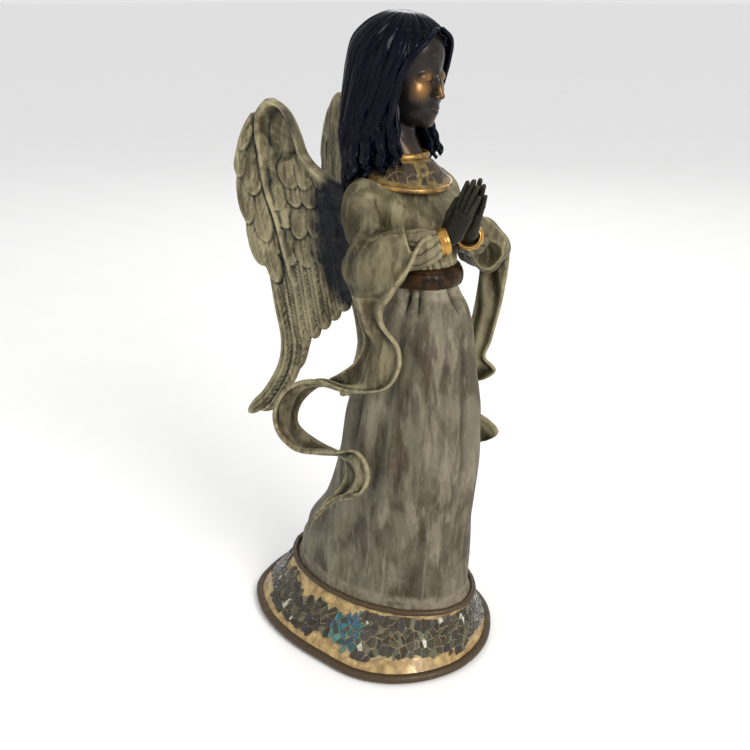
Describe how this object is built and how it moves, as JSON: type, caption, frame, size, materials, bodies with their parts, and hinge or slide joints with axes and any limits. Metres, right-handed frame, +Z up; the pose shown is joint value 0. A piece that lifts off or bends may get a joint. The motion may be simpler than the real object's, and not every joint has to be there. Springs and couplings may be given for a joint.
{
  "type": "angel figurine",
  "caption": "Standing praying angel in a long gown with wide falling sleeves, swept-back wings, a mosaic collar and a flared oval mosaic hem that it stands on.",
  "frame": {"origin": "on the floor under the middle of the oval hem, at the underside of the felt pad", "axes": "+Z up, the figure faces -Y, her left side is +X"},
  "size_m": [0.1083, 0.1439, 0.305],
  "materials": {
    "gown": "satin",
    "feathers": "satin",
    "skin": "satin",
    "hair": "gloss",
    "gold": "gloss",
    "bronze": "satin",
    "gold_ground": "satin",
    "dark_rim": "satin",
    "mosaic_glass": "gloss",
    "felt": "matte",
    "steel": "satin"
  },
  "bodies": {
    "root": {"felt_pad": "felt", "hem_band": "gold_ground", "hem_lower_rim": "dark_rim", "hem_upper_cord": "dark_rim", "hem_mosaic": "mosaic_glass", "skirt": "gown", "belt": "bronze", "bodice": "gown", "collar_plate": "gold_ground", "collar_mosaic": "mosaic_glass", "collar_rim": "gold", "collar_neck_ring": "gold", "head": "skin", "hair": "hair", "right_sleeve": "gown", "left_sleeve": "gown", "right_undersleeve": "gown", "left_undersleeve": "gown", "right_drape": "gown", "left_drape": "gown", "right_bracelet": "gold", "left_bracelet": "gold", "right_hand": "skin", "left_hand": "skin", "right_wing": "feathers", "left_wing": "feathers", "right_wing_peg": "steel", "left_wing_peg": "steel"}
  },
  "joints": []
}
